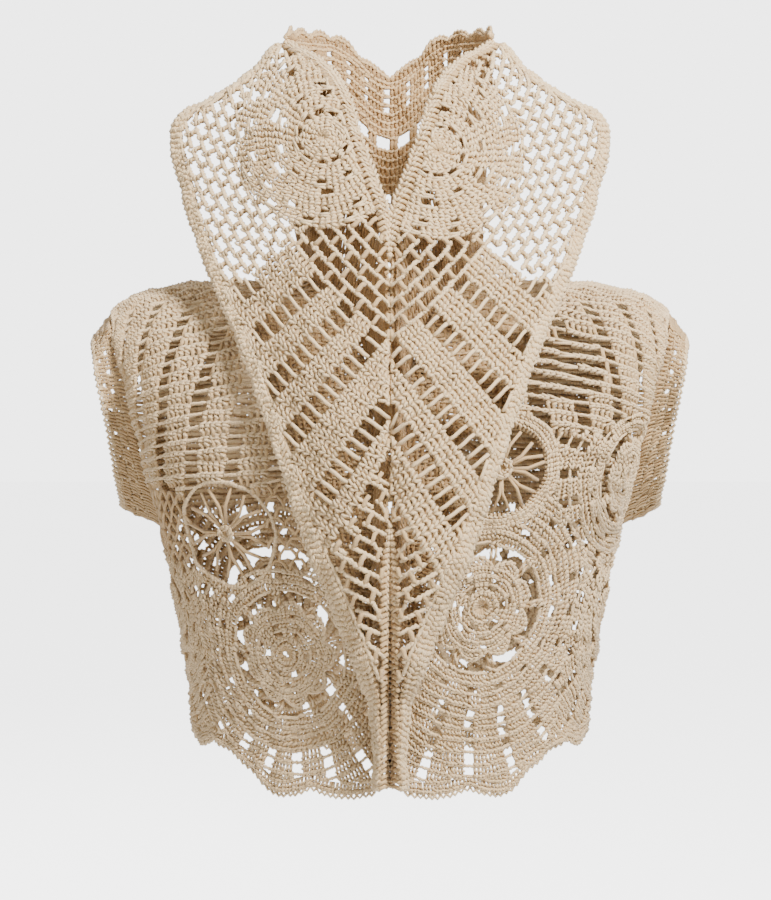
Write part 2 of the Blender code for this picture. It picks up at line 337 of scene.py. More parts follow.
def wandering(cells, reach=0.0011):
    """Courses drift a little, as hand work does; cells that share a corner move together."""
    u, v = cells[..., 0] / MILLIMETRE, cells[..., 1] / MILLIMETRE
    across = np.sin(u / 9.1 + v / 6.3) + np.sin(u / 17.0 - v / 12.7 + 1.3)
    up = np.sin(u / 11.3 - v / 7.9 + 0.7) + np.sin(u / 21.0 + v / 14.9 + 2.1)
    return cells + reach * np.stack([across, up], -1) / 2


def work(yarn, surface, cells, letters, side=1):
    """Works each cell's stitch on the surface into yarn, a dict of ground and relief strands."""
    places, normals = laid(surface, cells, side)
    for letter in np.unique(letters):
        chosen = letters == letter
        ground, relief = STITCHES[letter]
        yarn["ground"] += strands(places[chosen], normals[chosen], ground)
        yarn["relief"] += strands(places[chosen], normals[chosen], relief)


def new_yarn():
    return {"ground": [], "relief": []}


def added(name, data):
    """A new object in the scene."""
    item = bpy.data.objects.new(name, data)
    bpy.context.scene.collection.objects.link(item)
    return item


def yarn_piece(name, bundles):
    """One mesh of all the strands: bundles holds a thickness and an array of lines of points."""
    curve = bpy.data.curves.new(name, "CURVE")
    curve.dimensions = "3D"
    curve.bevel_depth = YARN_RADIUS
    curve.bevel_resolution = 0
    curve.use_fill_caps = True
    for thickness, lines in bundles:
        padded = np.concatenate([lines, np.ones(lines.shape[:2] + (1,))], -1).astype(np.float32)
        thicknesses = np.full(lines.shape[1], thickness, np.float32)
        for line in padded:
            spline = curve.splines.new("POLY")
            spline.points.add(len(line) - 1)
            spline.points.foreach_set("co", line.ravel())
            spline.points.foreach_set("radius", thicknesses)
            spline.use_smooth = True
    bundle = added(name + "_strands", curve)
    evaluated = bundle.evaluated_get(bpy.context.evaluated_depsgraph_get())
    mesh = bpy.data.meshes.new_from_object(evaluated)
    mesh.name = name
    bpy.data.objects.remove(bundle)
    bpy.data.curves.remove(curve)
    shape = bmesh.new()
    shape.from_mesh(mesh)
    bmesh.ops.remove_doubles(shape, verts=shape.verts, dist=1e-6)
    shape.to_mesh(mesh)
    shape.free()
    mesh.shade_smooth()
    return added(name, mesh)


def node_group(name, inputs, outputs):
    """A shader node group with its sockets, and the nodes for what it is given and puts out."""
    group = bpy.data.node_groups.new(name, "ShaderNodeTree")
    for direction, sockets in (("INPUT", inputs), ("OUTPUT", outputs)):
        for label, kind in sockets.items():
            group.interface.new_socket(label, in_out=direction, socket_type="NodeSocket" + kind)
    return group, group.nodes.new("NodeGroupInput"), group.nodes.new("NodeGroupOutput")


yarn_look, given, result = node_group(
    "cotton_yarn", {"Colour": "Color", "Shade": "Color"}, {"Colour": "Color", "Height": "Float"}
)
nodes, links = yarn_look.nodes, yarn_look.links
place = nodes.new("ShaderNodeTexCoord")
drift, fibre = nodes.new("ShaderNodeTexNoise"), nodes.new("ShaderNodeTexNoise")
drift.inputs["Scale"].default_value = 120
drift.inputs["Detail"].default_value = 4
fibre.inputs["Scale"].default_value = 1900
plies = nodes.new("ShaderNodeTexWave")
plies.bands_direction = "DIAGONAL"
plies.inputs["Scale"].default_value = 420
plies.inputs["Distortion"].default_value = 3
plies.inputs["Detail Scale"].default_value = 2
for texture in (drift, fibre, plies):
    links.new(place.outputs["Object"], texture.inputs["Vector"])
tint = nodes.new("ShaderNodeMix")
tint.data_type = "RGBA"
links.new(drift.outputs["Fac"], tint.inputs["Factor"])
links.new(given.outputs["Shade"], tint.inputs["A"])
links.new(given.outputs["Colour"], tint.inputs["B"])
# Painted shade: the colour is darkened in the grooves between the plies.
ply_groove_shade = nodes.new("ShaderNodeMapRange")
ply_groove_shade.inputs["To Min"].default_value = 0.74
links.new(plies.outputs["Fac"], ply_groove_shade.inputs["Value"])
shaded = nodes.new("ShaderNodeVectorMath")
shaded.operation = "SCALE"
links.new(tint.outputs["Result"], shaded.inputs["Vector"])
links.new(ply_groove_shade.outputs["Result"], shaded.inputs["Scale"])
links.new(shaded.outputs["Vector"], result.inputs["Colour"])
rough = nodes.new("ShaderNodeMath")
rough.operation = "ADD"
links.new(plies.outputs["Fac"], rough.inputs[0])
links.new(fibre.outputs["Fac"], rough.inputs[1])
links.new(rough.outputs["Value"], result.inputs["Height"])


def cotton(name, colour, shade):
    """Dry matt yarn in one tone, with its plies and fibres, and painted shade in the grooves between
    the plies.
    """
    material = bpy.data.materials.new(name)
    material.use_nodes = True
    nodes, links = material.node_tree.nodes, material.node_tree.links
    shader = nodes["Principled BSDF"]
    look = nodes.new("ShaderNodeGroup")
    look.node_tree = yarn_look
    look.inputs["Colour"].default_value = (*colour, 1)
    look.inputs["Shade"].default_value = (*shade, 1)
    links.new(look.outputs["Colour"], shader.inputs["Base Color"])
    bump = nodes.new("ShaderNodeBump")
    bump.inputs["Strength"].default_value = 0.5
    bump.inputs["Distance"].default_value = 0.0002
    links.new(look.outputs["Height"], bump.inputs["Height"])
    links.new(bump.outputs["Normal"], shader.inputs["Normal"])
    shader.inputs["Roughness"].default_value = 0.9
    shader.inputs["Specular IOR Level"].default_value = 0.3
    shader.inputs["Sheen Weight"].default_value = 0.15
    return material


GROUND_PAINTED_SHADE = (0.77, 0.70, 0.61)  # painted shade: the ground lying under the loops is coloured darker and browner


def cotton_pair(name, colour, shade):
    """Materials for the ground and for the loops of one piece, the ground's darkened with painted
    shade.
    """
    ground = cotton(
        f"{name}_ground",
        [part * tone for part, tone in zip(colour, GROUND_PAINTED_SHADE)],
        [part * tone for part, tone in zip(shade, GROUND_PAINTED_SHADE)],
    )
    return ground, cotton(f"{name}_loops", colour, shade)


# Painted shade on the fronts: inside a line that leans out as it rises, the colour is multiplied by a
# darker tone where the collar shades them.
COLLAR_SLOPE, COLLAR_EDGE, FULL_SHADE = 0.315, 0.126, 0.100  # its edge leans out as it rises
COLLAR_PAINTED_SHADE = (0.82, 0.74, 0.63)
collar_shade, given, result = node_group(
    "collar_shade", {"Colour": "Color", "Tone": "Color"}, {"Colour": "Color"}
)
nodes, links = collar_shade.nodes, collar_shade.links
place, parts = nodes.new("ShaderNodeTexCoord"), nodes.new("ShaderNodeSeparateXYZ")
links.new(place.outputs["Object"], parts.inputs["Vector"])
out = nodes.new("ShaderNodeMath")
out.operation = "ABSOLUTE"
links.new(parts.outputs["X"], out.inputs[0])
past = nodes.new("ShaderNodeMath")
past.operation = "MULTIPLY_ADD"
past.inputs[1].default_value = -COLLAR_SLOPE
links.new(parts.outputs["Z"], past.inputs[0])
links.new(out.outputs["Value"], past.inputs[2])
covered = nodes.new("ShaderNodeMapRange")
covered.inputs["From Min"].default_value = COLLAR_EDGE
covered.inputs["From Max"].default_value = FULL_SHADE
links.new(past.outputs["Value"], covered.inputs["Value"])
darker = nodes.new("ShaderNodeMix")
darker.data_type = "RGBA"
darker.blend_type = "MULTIPLY"
links.new(covered.outputs["Result"], darker.inputs["Factor"])
links.new(given.outputs["Colour"], darker.inputs["A"])
links.new(given.outputs["Tone"], darker.inputs["B"])
links.new(darker.outputs["Result"], result.inputs["Colour"])


def shaded_under_collar(material, tone):
    """Painted shade: darker yarn colour where the collar lies over the fronts."""
    nodes, links = material.node_tree.nodes, material.node_tree.links
    base = nodes["Principled BSDF"].inputs["Base Color"]
    shade = nodes.new("ShaderNodeGroup")
    shade.node_tree = collar_shade
    shade.inputs["Tone"].default_value = (*tone, 1)
    links.new(base.links[0].from_socket, shade.inputs["Colour"])
    links.new(shade.outputs["Colour"], base)


def cloth_pieces(node, yarn, materials, slot, flat, area):
    """The cloth of one panel and the loops that stand up on it, as two meshes."""
    cloth = yarn_piece(f"{node}_cloth", yarn["ground"])
    loops = yarn_piece(f"{node}_loops", yarn["relief"])
    for piece, material in zip((cloth, loops), materials):
        piece.data.materials.append(material)
        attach(piece, "root")
    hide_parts(node)


STITCH_WIDTH, COURSE_HEIGHT = 0.0032, 0.0092
LOBE_SIZE = 0.0074  # a wheel's radius for each of its lobes
PANEL_ENDS = np.interp(np.radians((64, 116)), turns, girth)
PANELS = np.array(["medallion_front", "medallion_side", "medallion_back"])
BACK_MOTIFS = (  # kind, centre as across and height, radius
    ("wheel", (0.372, -0.071), 0.064),
    ("wheel", (centre_back, 0.085), 0.066),
)
MOTIFS = {
    "right": (
        ("wheel", (0.087, -0.090), 0.066),
        ("flower", (0.128, 0.002), 0.041),
        ("wheel", (0.232, -0.070), 0.052),
        *BACK_MOTIFS,
    ),
    "left": (
        ("wheel", (0.075, -0.054), 0.067),
        ("star", (0.080, 0.052), 0.044),
        ("wheel", (0.205, 0.045), 0.052),
        ("wheel", (0.232, -0.075), 0.052),
        *BACK_MOTIFS,
    ),
}
LADDER_START = {"right": 0.036, "left": 0.080}
NET_START = {"right": -0.024, "left": 0.080}
BACK_START = 0.012  # where the halos of the low wheels give way to the back's plain courses
LADDER_TILT, LADDER_LEAN = (0.05, 0.27), (0.20, 0.62)  # slopes at the foot and at the shoulder
LADDER_FOOT, LADDER_REACH, LADDER_PIVOT = 0.030, 0.18, 0.10
LADDER_GROWTH = 2.0  # how much taller its courses are for each metre up
MOTIF_HOLD = 0.99  # what surrounds a motif laps its edge by a hundredth of its radius
FANS, HALO_ROUNDS = 20, 14  # columns of windows round a wheel, and the courses they run through
NARROW_ABOVE, CLOSED_ABOVE = 0.120, 0.205  # the ladders' windows gain a post, then stop
WIDE_SLOTS = {"across": (0.098, 0.150), "height": (0.108, 0.160)}  # open work on the left front
LAPEL_COVER = (  # height of the cloth, and how far round the lapel covers it
    (-0.19, 0.006), (-0.12, 0.012), (-0.07, 0.033), (-0.02, 0.052), (0.05, 0.069), (0.15, 0.091),
    (0.27, 0.108),
)
SEAM_GAP, SIDE_GAP = 0.00002, 0.0005  # left at the shoulder and neck seams, and at the armholes
PAST_SEAM = 0.01  # beyond this from the side seam, stitches are the closed ones of the back


def fit_body(cells):
    """Cells pulled back inside the body's outline: the V, the armholes, the shoulders and the neck."""
    across, height = cells[..., 0], np.minimum(cells[..., 1], shoulder - SEAM_GAP)
    on_front = (across.mean(-1) < side_seam)[..., None]
    lift = np.interp(height, rise, lifts)
    inner = across_of(np.where(height > 0, neck_edge_x(lift), FRONT_EDGE), height)
    low = np.where(on_front, inner, np.where(height > 0, side_seam + SIDE_GAP, 0))
    high = np.where(on_front & (height > 0), side_seam - SIDE_GAP, centre_back)
    across = np.clip(across, low, high)
    height = np.where(on_front, height, np.minimum(height, back_top(across) - SEAM_GAP))
    return np.stack([across, height], -1)


def home(middle):
    """The piece that each cell belongs to, from its middle."""
    across, height = middle[:, 0], middle[:, 1]
    upper = np.where(across < side_seam, "front", "back_yoke")
    return np.where(height < 0, PANELS[np.searchsorted(PANEL_ENDS, across)], upper)


def fitting(inner, outer, radius, pattern, width=STITCH_WIDTH):
    """A round of a motif: as many repeats of the pattern as go round it."""
    repeats = round(pi * radius * (inner + outer) / (pattern_width(pattern) * width))
    return inner, outer, pattern * repeats


def wheel_rounds(radius):
    """A wheel: a spoked middle, rounds with small windows, lobes, crescent slots, solid rounds."""
    lobes = round(radius / LOBE_SIZE)

    def petals(angle):
        return radius * (0.50 + 0.10 * np.abs(np.sin(lobes * angle / 2)))

    return [
        (0.04, 0.18, "x" * 19),
        fitting(0.18, 0.30, radius, "xxxo"),
        fitting(0.30, 0.40, radius, "xxxxx."),
        (0.40, 0.49, "xxxxxx." * lobes),
        (0.49, petals, "xxxxxxx" * lobes),
        (petals, 0.76, "xx__" * lobes),
        fitting(0.76, 0.88, radius, "x"),
        fitting(0.88, 1.0, radius, "xxxxxo"),
    ]


def star_rounds(radius):
    """A star: open petals of chain round a small ring, inside solid rounds."""
    return [
        (0.03, 0.17, "x" * 9),
        (0.17, 0.76, "s" * 9),
        fitting(0.76, 0.88, radius, "x"),
        fitting(0.88, 1.0, radius, "x"),
    ]


def flower_rounds(radius):
    """A star with no rim, whose petals reach a single chain and the net beyond it."""
    return [(0.03, 0.15, "x" * 8), (0.15, 0.90, "s" * 8), fitting(0.90, 1.0, radius, "-")]


ROUNDS = {"wheel": wheel_rounds, "star": star_rounds, "flower": flower_rounds}


def motif_cells(kind, centre, radius):
    """The cells of a round motif, with their letters."""
    made, letters = [], []
    for inner, outer, round_letters in ROUNDS[kind](radius):
        low = inner if callable(inner) else inner * radius
        high = outer if callable(outer) else outer * radius
        turned = 0 if callable(inner) or callable(outer) else chance.uniform()
        made.append(ring(np.array(centre), low, high, round_letters, turned))
        letters += list(round_letters)
    return np.concatenate(made), np.array(letters)


def halo_cells(centre, radius):
    """Courses that go on outward from a motif; their windows line up in columns, like fans."""
    made, letters = [], []
    for number in range(HALO_ROUNDS):
        inner = radius + number * COURSE_HEIGHT
        sector = 2 * pi * (inner + COURSE_HEIGHT / 2) / FANS
        solid = round(sector / STITCH_WIDTH - WIDTHS["o"])
        row = ("x" * solid + ("o" if number else "x")) * FANS
        made.append(ring(np.array(centre), inner, inner + COURSE_HEIGHT, row))
        letters += list(row)
    return np.concatenate(made), np.array(letters)


def distance(middle, centre):
    return np.hypot(*(middle - centre).T)


def under_lapel(height):
    """How far round the front the lapel covers, at a height of the cloth."""
    return np.interp(height, *zip(*LAPEL_COVER))


def clear_of(motifs, middle):
    """Whether each place lies outside every motif."""
    return np.all([distance(middle, centre) > radius * MOTIF_HOLD for _, centre, radius in motifs], 0)


def courses(letters, origin, reach, step=0.0, pitch=COURSE_HEIGHT, width=STITCH_WIDTH):
    """Straight courses as loose cells and their letters; each starts step stitches along."""
    repeats = int(reach[0] / (pattern_width(letters) * width))
    rows = int(reach[1] / pitch)
    edges = pattern_edges(letters * repeats) * pattern_width(letters) * repeats * width
    cells = []
    for row in range(rows):
        across = origin[0] + (edges + step * width * (row % 2))
        low = np.stack([across, np.full_like(across, origin[1] + pitch * row)], -1)
        cells.append(strip(low, low + (0, pitch)))
    return np.concatenate(cells), np.tile(np.array(list(letters * repeats)), rows)


def leaned(cells):
    """Courses above the bust tilt, lean in and grow taller, all the more the higher up."""
    across, height = cells[..., 0], cells[..., 1]
    up = np.maximum(height - LADDER_FOOT, 0)
    height = height + LADDER_GROWTH * up**2 / 2
    tilt = mix(LADDER_TILT[0], LADDER_TILT[1], np.clip(up / LADDER_REACH, 0, 1))
    lean = LADDER_LEAN[0] * up + (LADDER_LEAN[1] - LADDER_LEAN[0]) * up**2 / (2 * LADDER_REACH)
    return np.stack([across - lean, height - (across - LADDER_PIVOT) * tilt], -1)


ABOVE, BELOW, BEHIND = (-0.05, -0.06), (-0.01, -0.16), (side_seam - 0.04, 0)  # where courses start
straight = {
    "ladder": courses("yyyyy_", ABOVE, (0.50, 0.45)),
    "solid": courses("x", ABOVE, (0.50, 0.45), step=0.5),
    "net": courses("m", BELOW, (0.52, 0.45), step=2.15, pitch=0.0080),
    "covered": courses("c", BELOW, (0.16, 0.45), step=0.5, width=0.0042),
    "back": courses("b", BEHIND, (0.30, 0.28), step=1.5),
}
for kind in ("ladder", "solid"):
    cells, letters = straight[kind]
    straight[kind] = (leaned(cells), letters)


def zone(side_name, middle):
    """What the cloth is worked in at each place."""
    across, height = middle[:, 0], middle[:, 1]
    on_front = across < side_seam
    tilted = height + (across - LADDER_PIVOT) * LADDER_TILT[0]
    front = np.where(tilted > NET_START[side_name], "net", "halo")
    front = np.where(tilted > LADDER_START[side_name], "ladder", front)
    front = np.where(height > CLOSED_ABOVE, "solid", front)
    front = np.where(across < under_lapel(height), "covered", front)
    return np.where(on_front, front, np.where(height > BACK_START, "back", "halo"))


def within(middle, box):
    return np.logical_and.reduce([
        (middle[:, axis] > low) & (middle[:, axis] < high)
        for axis, (low, high) in enumerate((box["across"], box["height"]))
    ])


def background(side_name):
    """The cells between the motifs, with their letters."""
    motifs = MOTIFS[side_name]
    for kind, (cells, letters) in straight.items():
        middle = cells.mean(1)
        if kind == "ladder":
            slotted = within(middle, WIDE_SLOTS) & (side_name == "left")
            letters = np.where(slotted, ".", letters)
            letters = np.where((letters == "_") & (middle[:, 1] > NARROW_ABOVE), "q", letters)
        keep = (zone(side_name, middle) == kind) & clear_of(motifs, middle)
        yield cells[keep], letters[keep]
    wheels = [(centre, radius) for kind, centre, radius in motifs if kind == "wheel"]
    for number, wheel in enumerate(wheels):  # each wheel's own courses, up to where another's start
        cells, letters = halo_cells(*wheel)
        middle = cells.mean(1)
        nearest = np.argmin([distance(middle, centre) - radius for centre, radius in wheels], 0)
        keep = (zone(side_name, middle) == "halo") & clear_of(motifs, middle) & (nearest == number)
        yield cells[keep], letters[keep]


body_yarn = {"back_yoke": new_yarn()}
for side_name, side in SIDES.items():
    for key in ("front", *PANELS):
        body_yarn[f"{key}_{side_name}"] = new_yarn()
    patches = []
    for cells, letters in background(side_name):
        above = cells[..., 1].mean(1) > border
        patches.append((cells[above], letters[above]))
    patches += [motif_cells(*motif) for motif in MOTIFS[side_name]]
    for cells, letters in patches:
        fitted, kept = trimmed(wandering(cells), fit_body, least=0.22)
        fitted, letters = fitted[kept], letters[kept]
        middle = fitted.mean(1)
        # Behind the side seam and under the lapel the solid parts are plain closed stitches.
        hidden = (middle[:, 0] > side_seam + PAST_SEAM) | (middle[:, 0] < under_lapel(middle[:, 1]))
        letters = np.where(hidden & (letters == "x"), "h", letters)
        homes = home(middle)
        for key in np.unique(homes):
            node = key if key == "back_yoke" else f"{key}_{side_name}"
            chosen = homes == key
            work(body_yarn[node], body, fitted[chosen], letters[chosen], side)

BODY_COLOUR, BODY_SHADE = (0.79, 0.60, 0.355), (0.62, 0.43, 0.23)
body_cotton = cotton_pair("body_cotton", BODY_COLOUR, BODY_SHADE)
front_cotton_painted_shade = cotton_pair("front_cotton_painted_shade", BODY_COLOUR, BODY_SHADE)
# The fronts' materials carry painted shade where the collar lies over them.
for material in front_cotton_painted_shade:
    shaded_under_collar(material, COLLAR_PAINTED_SHADE)
BODY_CUTS = {
    "front": {"flat": (0.225, 0.262), "area": 0.0480},
    "medallion_front": {"flat": (0.178, 0.142), "area": 0.0223},
    "medallion_side": {"flat": (0.108, 0.142), "area": 0.0151},
    "medallion_back": {"flat": (0.170, 0.142), "area": 0.0230},
    "back_yoke": {"flat": (0.460, 0.245), "area": 0.0973},
}
for node, yarn in body_yarn.items():
    cut = BODY_CUTS[node.replace("_left", "").replace("_right", "")]
    materials = front_cotton_painted_shade if "front" in node else body_cotton
    cloth_pieces(node, yarn, materials, "body_cotton", **cut)

# Hem border. Crocheted downward from the medallions in the same cotton, in courses with columns of
# windows, and ended in shallow scallops with a picot on about every other stitch.

HEM_SIDE_Z, HEM_BACK_Z = -0.352, -0.378
SCALLOPS, SCALLOP_DEPTH, SCALLOP_CURVE = 9, 0.007, 0.7
SWEEP = (0.60, 0.27)  # how squarely a place faces front or back where the hem sweeps down
HEM_EDGE, PICOT_START, PICOT_END, PICOT_WIDTH = 0.009, 0.002, -0.0025, 0.0052
HEM_ROUNDS = (
    {"top": HEM_EDGE, "bottom": PICOT_START, "letter": "x", "stitch": STITCH_WIDTH},
    {"top": PICOT_START, "bottom": PICOT_END, "letter": "p", "stitch": PICOT_WIDTH},
)
HEM_CUTS = {
    "hem_front_left": {"flat": (0.235, 0.055), "area": 0.0075},
    "hem_front_right": {"flat": (0.235, 0.055), "area": 0.0075},
    "hem_back": {"flat": (0.460, 0.055), "area": 0.0142},
}


def eased(place, start, over):
    """From 0 at the start to 1 a stretch further on."""
    return smooth((place - start) / over)


def hem_line(across):
    """The scalloped edge, as a height of the cloth."""
    turn = np.interp(across, girth, turns)
    level = np.where(turn < pi / 2, HEM_FRONT_Z, HEM_BACK_Z)
    dip = mix(HEM_SIDE_Z, level, eased(np.abs(np.cos(turn)), *SWEEP))
    scallop = 0.5 - np.abs(np.sin(turn * SCALLOPS)) ** SCALLOP_CURVE
    return dip + SCALLOP_DEPTH * scallop - UNDERARM_Z


def fit_hem(cells):
    across = np.clip(cells[..., 0], across_of(FRONT_EDGE, cells[..., 1]), centre_back)
    height = np.maximum(cells[..., 1], hem_line(across) + HEM_EDGE)
    return np.stack([across, height], -1)


hem_yarn = {node: new_yarn() for node in HEM_CUTS}


def course(along, low, high):
    """The cells of one course, between two heights or two lines of heights."""
    low, high = np.broadcast_to(low, along.shape), np.broadcast_to(high, along.shape)
    return strip(np.stack([along, low], -1), np.stack([along, high], -1))


def work_hem(cells, letters, side_name):
    """Shares the cells out between one side's front border and the back one."""
    on_front = cells[..., 0].mean(1) < side_seam
    for chosen, node in ((on_front, f"hem_front_{side_name}"), (~on_front, "hem_back")):
        work(hem_yarn[node], body, cells[chosen], letters[chosen], SIDES[side_name])


for side_name in SIDES:
    for cells, letters in background(side_name):
        below = cells[..., 1].mean(1) <= border
        fitted, kept = trimmed(wandering(cells[below]), fit_hem, least=0.3)
        fitted, letters = fitted[kept], letters[below][kept]
        at_back = fitted[..., 0].mean(1) >= side_seam
        letters = np.where(at_back & (letters == "x"), "h", letters)
        work_hem(fitted, letters, side_name)
    first = across_of(FRONT_EDGE, border)
    for row in HEM_ROUNDS:
        along = np.linspace(first, centre_back, int((centre_back - first) / row["stitch"]))
        line = hem_line(along)
        cells = course(along, line + row["top"], line + row["bottom"])
        work_hem(cells, np.full(len(cells), row["letter"]), side_name)

edging_cotton = cotton_pair("edging_cotton", (0.77, 0.58, 0.335), (0.60, 0.41, 0.215))
for node, yarn in hem_yarn.items():
    cloth_pieces(node, yarn, edging_cotton, "edging_cotton", **HEM_CUTS[node])

# Cap sleeves. Three rounds of the same cotton crocheted outward from the edge of each armhole, the
# outer two with small windows, and a row of picots round the rim.

CAP_SEAT = 0.0016  # how far out from the edge of the armhole the first round starts
RIM_RISE, RIM_RISE_CURVE, RIM_HALF_DEPTH = 0.012, 4, 0.072
CAP_ROUNDS = (  # low and high are shares of the way out to the rim
    {"low": 0.00, "high": 0.36, "letters": "x", "closeness": 1},
    {"low": 0.36, "high": 0.70, "letters": "xxxx.", "closeness": 1},
    {"low": 0.70, "high": 0.97, "letters": "xxxxxx.", "closeness": 1},
    {"low": 0.97, "high": 1.16, "letters": "p", "closeness": 0.56},
)


def cap(s, t):
    """Places on a cap sleeve: s is the share of the way round the armhole from the underarm."""
    s = s % 1.0
    lift = pi * np.where(s < 0.5, s, 1 - s)
    rim = RIM_HALF_WIDTH + RIM_REACH * np.sin(lift)
    x = mix(cap_edge(lift) + CAP_SEAT, rim, t)
    depth = armhole_depth(lift) * mix(1, RIM_HALF_DEPTH / ARMHOLE_HALF_DEPTH, t)
    y = SIDE_SEAM_Y + np.where(s < 0.5, -depth, depth)
    z = arch_height(x, lift) + RIM_RISE * t * np.cos(lift) ** RIM_RISE_CURVE
    return np.stack([x, y, z], -1)


def even_steps(points, stitch, closeness=1):
    """Where the stitches worked along a line of points begin and end, as shares of it."""
    run = run_along(*points.T)
    count = int(int(run[-1] / stitch) * closeness)
    return np.interp(np.linspace(0, run[-1], count + 1), run, np.linspace(0, 1, len(points)))


samples = np.linspace(0, 1, 800)
middle_round = cap(samples, np.full_like(samples, 0.5))
for side_name, side in SIDES.items():
    yarn = new_yarn()
    for row in CAP_ROUNDS:
        around = even_steps(middle_round, STITCH_WIDTH, row["closeness"])
        cells = course(around, row["low"], row["high"])
        letters = np.array(list(row["letters"] * len(cells)))[:len(cells)]
        letters = np.where((around[:-1] > 0.5) & (letters == "x"), "l", letters)
        work(yarn, cap, cells, letters, side)
    cloth_pieces(f"cap_sleeve_{side_name}", yarn, edging_cotton, "edging_cotton", (0.44, 0.024), 0.0094)

# Lapels. Each is the outer layer of the shawl collar, crocheted in pale cotton as courses on arcs,
# with a round motif at the top and rows of windows that meet the other lapel's in chevrons. It
# joins its front band at the roll.

LAPEL_SECTIONS = (  # from the top down, a place on the roll and the one on the free edge
    ((0.0795, -0.068, 0.189), (0.091, -0.066, 0.187)),
    ((0.0500, -0.097, 0.170), (0.124, -0.078, 0.153)),
    ((0.0350, -0.126, 0.148), (0.168, -0.086, 0.124)),
    ((0.0250, -0.148, 0.117), (0.160, -0.104, 0.072)),
    ((0.0130, -0.163, 0.083), (0.143, -0.130, 0.022)),
    ((0.0020, -0.174, 0.050), (0.125, -0.152, -0.018)),
    ((0.0015, -0.186, 0.000), (0.107, -0.172, -0.060)),
    ((0.0015, -0.198, -0.080), (0.083, -0.188, -0.130)),
    ((0.0015, -0.203, -0.160), (0.062, -0.194, -0.197)),
    ((0.0015, -0.198, -0.240), (0.036, -0.190, -0.260)),
    ((0.0012, -0.182, -0.310), (0.014, -0.180, -0.320)),
    ((0.0012, -0.169, -0.380), (0.0115, -0.171, -0.382)),
)
LAPEL_BULGE, BULGE_CURVE, BULGE_GROWS = 0.012, 0.7, 0.15
LAPEL_RIPPLE, LAPEL_GATHERS = 0.004, 9
# Where something changes down a lapel: from which share of its length, and over how much of it.
RIPPLE_STARTS, RIPPLE_ENDS = (0.55, 0.30), (0.90, 0.10)
EDGE_WIDENS, ROLL_LAPS, ROLL_PARTS = (0.60, 0.20), (0.45, 0.08), (0.72, 0.08)
LAPEL_STITCH = 0.0044


def rosette_rounds(radius):
    """A closer motif, for the lapels: two rings of small windows and a few slots."""
    return [
        (0.02, 0.14, "x" * 13),
        (0.14, 0.24, "x" * 18),
        fitting(0.24, 0.34, radius, "x.", LAPEL_STITCH),
        fitting(0.34, 0.45, radius, "x", LAPEL_STITCH),
        fitting(0.45, 0.56, radius, "xxx.", LAPEL_STITCH),
        fitting(0.56, 0.68, radius, "xxxxxxxxw", LAPEL_STITCH),
        fitting(0.68, 0.79, radius, "x", LAPEL_STITCH),
        fitting(0.79, 0.89, radius, "xxxx.", LAPEL_STITCH),
        fitting(0.89, 1.0, radius, "xxxxx.", LAPEL_STITCH),
    ]


ROUNDS["rosette"] = rosette_rounds


def through(points, share):
    """A smooth curve through a column of points, share running from 0 to 1."""
    points = np.array(points)
    last = len(points) - 1
    place = np.clip(share, 0, 1) * last
    index = np.minimum(place.astype(int), last - 1)
    u = (place - index)[..., None]
    before, start, end, after = (points[np.clip(index + step, 0, last)] for step in (-1, 0, 1, 2))
    linear = (end - before) * u
    square = (2 * before - 5 * start + 4 * end - after) * u**2
    cube = (3 * start - 3 * end + after - before) * u**3
    return start + (linear + square + cube) / 2


lapel_roll, lapel_edge = zip(*LAPEL_SECTIONS)


def lapel(s, t):
    """Places on a lapel: s is the share of the way down it, and t out from the roll to its edge."""
    place = mix(through(lapel_roll, s), through(lapel_edge, s), t[..., None])
    lower = eased(s, *RIPPLE_STARTS) * (1 - eased(s, *RIPPLE_ENDS))
    place[..., 1] -= LAPEL_BULGE * np.sin(pi * power(t, BULGE_CURVE)) * eased(s, 0, BULGE_GROWS)
    place[..., 1] += LAPEL_RIPPLE * t * lower * np.sin(2 * pi * LAPEL_GATHERS * s)
    return place


def lapel_width(s):
    return np.linalg.norm(through(lapel_edge, s) - through(lapel_roll, s), axis=-1)


section_shares = np.linspace(0, 1, 500)
roll_line, edge_line = through(lapel_roll, section_shares), through(lapel_edge, section_shares)


def lapel_flat(cells):
    """From places seen from the front to shares down the lapel and out across it."""
    flat = cells.reshape(-1, 1, 2)
    roll, chord = roll_line[None, :, ::2], (edge_line - roll_line)[None, :, ::2]
    away = flat - roll
    cross = chord[..., 0] * away[..., 1] - chord[..., 1] * away[..., 0]
    first = np.clip(np.argmax(cross >= 0, 1), 1, None)
    first = np.where((cross >= 0).any(1), first, len(section_shares) - 1)
    rows = np.arange(len(flat))
    low, high = cross[rows, first - 1], cross[rows, first]
    share = (first - 1 + np.clip(low / (low - high), 0, 1)) / (len(section_shares) - 1)
    start, end = through(lapel_roll, share)[:, ::2], through(lapel_edge, share)[:, ::2]
    out = ((flat[:, 0] - start) * (end - start)).sum(1) / ((end - start) ** 2).sum(1)
    return np.stack([share, out], -1).reshape(cells.shape)


EDGE_BAND, LOW_EDGE_BAND = 0.009, 0.015  # stitches along the free edge, and near the hem
EDGE_ROWS = (
    {"from": 0, "to": 0.27, "letter": "f", "width": 0.0046},
    {"from": 0.27, "to": 0.54, "letter": "f", "width": 0.0041},
    {"from": 0.54, "to": 0.80, "letter": "f", "width": 0.0044},
    {"from": 0.80, "to": 1.05, "letter": "p", "width": 0.0050},
)
ROLL_BAND, LOW_ROLL_BAND, ROLL_OVERLAP = 0.008, 0.006, 0.0012
SLIGHTEST_ROLL = 0.005  # as a share of the width; a slighter roll band isn't worked
LAPEL_END = 0.995


